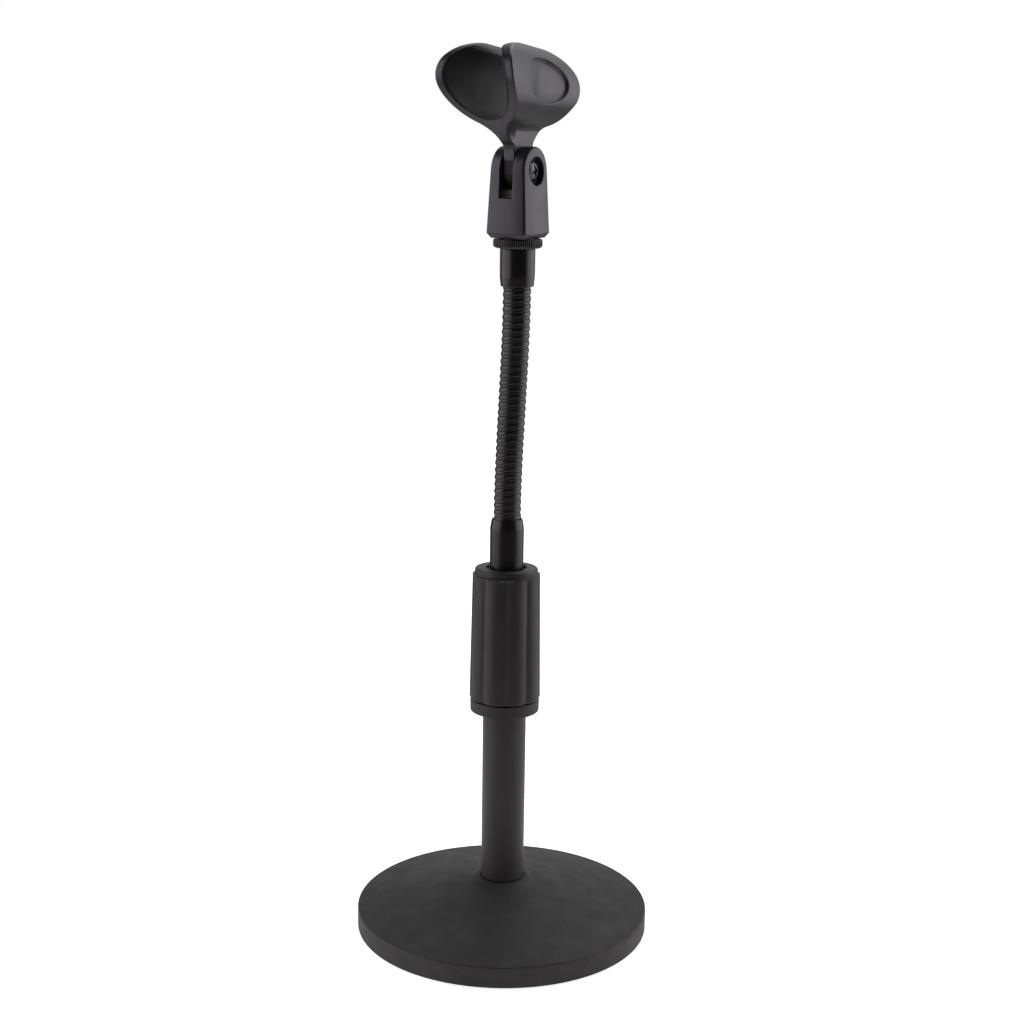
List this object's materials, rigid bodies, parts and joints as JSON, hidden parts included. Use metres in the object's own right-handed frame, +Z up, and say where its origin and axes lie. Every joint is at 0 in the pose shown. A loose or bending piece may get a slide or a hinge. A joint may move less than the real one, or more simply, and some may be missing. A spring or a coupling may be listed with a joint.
{
  "type": "desktop microphone stand",
  "caption": "Desktop microphone stand with a round weighted base, a telescopic pole with a twist clutch, a gooseneck, and a tilting open clip.",
  "frame": {"origin": "centre of the round base's underside, where the rubber pad rests on the table", "axes": "+Z up along the pole; the clip's open front faces -Y; the pivot screw lies along X, with its head on the +X side"},
  "size_m": [0.14, 0.14, 0.4123],
  "materials": {
    "cast_paint": "matt black textured powder coat on cast iron",
    "tube_paint": "satin black paint on steel tube",
    "neck_black": "satin black coated steel wire",
    "moulded_plastic": "black moulded plastic with a fine satin grain",
    "black_steel": "black plated steel",
    "bright_steel": "zinc plated steel",
    "rubber": "matt black rubber",
    "nylon": "natural nylon"
  },
  "bodies": {
    "stand": {"base_casting": "cast_paint", "base_pad": "rubber", "base_bolt": "bright_steel", "base_washer": "bright_steel", "base_lock_washer": "bright_steel", "outer_tube": "tube_paint", "tube_end_plug": "bright_steel", "clutch_sleeve": "moulded_plastic"},
    "collet": {"split_collet": "nylon"},
    "lock_nut": {"lock_nut": "moulded_plastic"},
    "inner_tube": {"inner_tube": "tube_paint", "guide_bush": "nylon", "gooseneck_lower_end": "neck_black"},
    "neck_01": {"gooseneck_link_01": "neck_black"},
    "neck_02": {"gooseneck_link_02": "neck_black"},
    "neck_03": {"gooseneck_link_03": "neck_black"},
    "neck_04": {"gooseneck_link_04": "neck_black"},
    "neck_05": {"gooseneck_link_05": "neck_black"},
    "neck_06": {"gooseneck_link_06": "neck_black"},
    "neck_07": {"gooseneck_link_07": "neck_black"},
    "neck_08": {"gooseneck_link_08": "neck_black"},
    "neck_09": {"gooseneck_link_09": "neck_black"},
    "neck_10": {"gooseneck_link_10": "neck_black"},
    "neck_11": {"gooseneck_link_11": "neck_black"},
    "neck_top": {"gooseneck_upper_end": "neck_black", "upper_ferrule": "tube_paint", "thread_adapter": "black_steel"},
    "swivel": {"swivel_body": "moulded_plastic", "pivot_screw": "bright_steel", "pivot_nut": "bright_steel"},
    "clip": {"mic_clip": "moulded_plastic"}
  },
  "joints": [
    {"name": "collet_lift", "type": "slide", "parent": "stand", "child": "collet", "axis": [0, 0, 1], "range_m": [0, 0.0015]},
    {"name": "lock_nut_turn", "type": "hinge", "parent": "collet", "child": "lock_nut", "pos_m": [0, 0, 0.146], "axis": [0, 0, 1], "range_deg": [0, 275]},
    {"name": "height_slide", "type": "slide", "parent": "stand", "child": "inner_tube", "axis": [0, 0, 1], "range_m": [-0.015, 0.075]},
    {"name": "neck_nod", "type": "hinge", "parent": "inner_tube", "child": "neck_01", "pos_m": [0.00002, 0, 0.206], "axis": [1, 0, 0], "range_deg": [-12.5, 12.5]},
    {"name": "neck_lean", "type": "hinge", "parent": "neck_01", "child": "neck_02", "pos_m": [0.00016, 0.00001, 0.21504], "axis": [0, 1, 0], "range_deg": [-12.5, 12.5]},
    {"name": "neck_nod_2", "type": "hinge", "parent": "neck_02", "child": "neck_03", "pos_m": [0.00041, 0.00002, 0.22409], "axis": [1, 0, 0], "range_deg": [-12.5, 12.5]},
    {"name": "neck_lean_2", "type": "hinge", "parent": "neck_03", "child": "neck_04", "pos_m": [0.00076, 0.00002, 0.23314], "axis": [0, 1, 0], "range_deg": [-12.5, 12.5]},
    {"name": "neck_nod_3", "type": "hinge", "parent": "neck_04", "child": "neck_05", "pos_m": [0.00118, 0, 0.24218], "axis": [1, 0, 0], "range_deg": [-12.5, 12.5]},
    {"name": "neck_lean_3", "type": "hinge", "parent": "neck_05", "child": "neck_06", "pos_m": [0.00165, -0.00007, 0.25123], "axis": [0, 1, 0], "range_deg": [-12.5, 12.5]},
    {"name": "neck_nod_4", "type": "hinge", "parent": "neck_06", "child": "neck_07", "pos_m": [0.00217, -0.00017, 0.26027], "axis": [1, 0, 0], "range_deg": [-12.5, 12.5]},
    {"name": "neck_lean_4", "type": "hinge", "parent": "neck_07", "child": "neck_08", "pos_m": [0.0027, -0.00034, 0.26932], "axis": [0, 1, 0], "range_deg": [-12.5, 12.5]},
    {"name": "neck_nod_5", "type": "hinge", "parent": "neck_08", "child": "neck_09", "pos_m": [0.00324, -0.00058, 0.27836], "axis": [1, 0, 0], "range_deg": [-12.5, 12.5]},
    {"name": "neck_lean_5", "type": "hinge", "parent": "neck_09", "child": "neck_10", "pos_m": [0.00376, -0.0009, 0.28741], "axis": [0, 1, 0], "range_deg": [-12.5, 12.5]},
    {"name": "neck_nod_6", "type": "hinge", "parent": "neck_10", "child": "neck_11", "pos_m": [0.00424, -0.00131, 0.29646], "axis": [1, 0, 0], "range_deg": [-12.5, 12.5]},
    {"name": "neck_lean_6", "type": "hinge", "parent": "neck_11", "child": "neck_top", "pos_m": [0.00467, -0.00183, 0.3055], "axis": [0, 1, 0], "range_deg": [-12.5, 12.5]},
    {"name": "head_swivel", "type": "hinge", "parent": "neck_top", "child": "swivel", "pos_m": [0.00568, -0.00343, 0.32953], "axis": [0.0416, -0.0665, 0.9969], "range_deg": [-180, 180]},
    {"name": "clip_tilt", "type": "hinge", "parent": "swivel", "child": "clip", "pos_m": [0.00691, -0.00539, 0.35904], "axis": [0.9991, 0.0014, -0.0416], "range_deg": [-90, 90]}
  ],
  "couplings": [
    {"joint": "lock_nut_turn", "follows": "collet_lift", "rad_per_m": 3141.6},
    {"joint": "neck_nod_2", "follows": "neck_nod", "ratio": 1},
    {"joint": "neck_lean_2", "follows": "neck_lean", "ratio": 1},
    {"joint": "neck_nod_3", "follows": "neck_nod", "ratio": 1},
    {"joint": "neck_lean_3", "follows": "neck_lean", "ratio": 1},
    {"joint": "neck_nod_4", "follows": "neck_nod", "ratio": 1},
    {"joint": "neck_lean_4", "follows": "neck_lean", "ratio": 1},
    {"joint": "neck_nod_5", "follows": "neck_nod", "ratio": 1},
    {"joint": "neck_lean_5", "follows": "neck_lean", "ratio": 1},
    {"joint": "neck_nod_6", "follows": "neck_nod", "ratio": 1},
    {"joint": "neck_lean_6", "follows": "neck_lean", "ratio": 1}
  ]
}
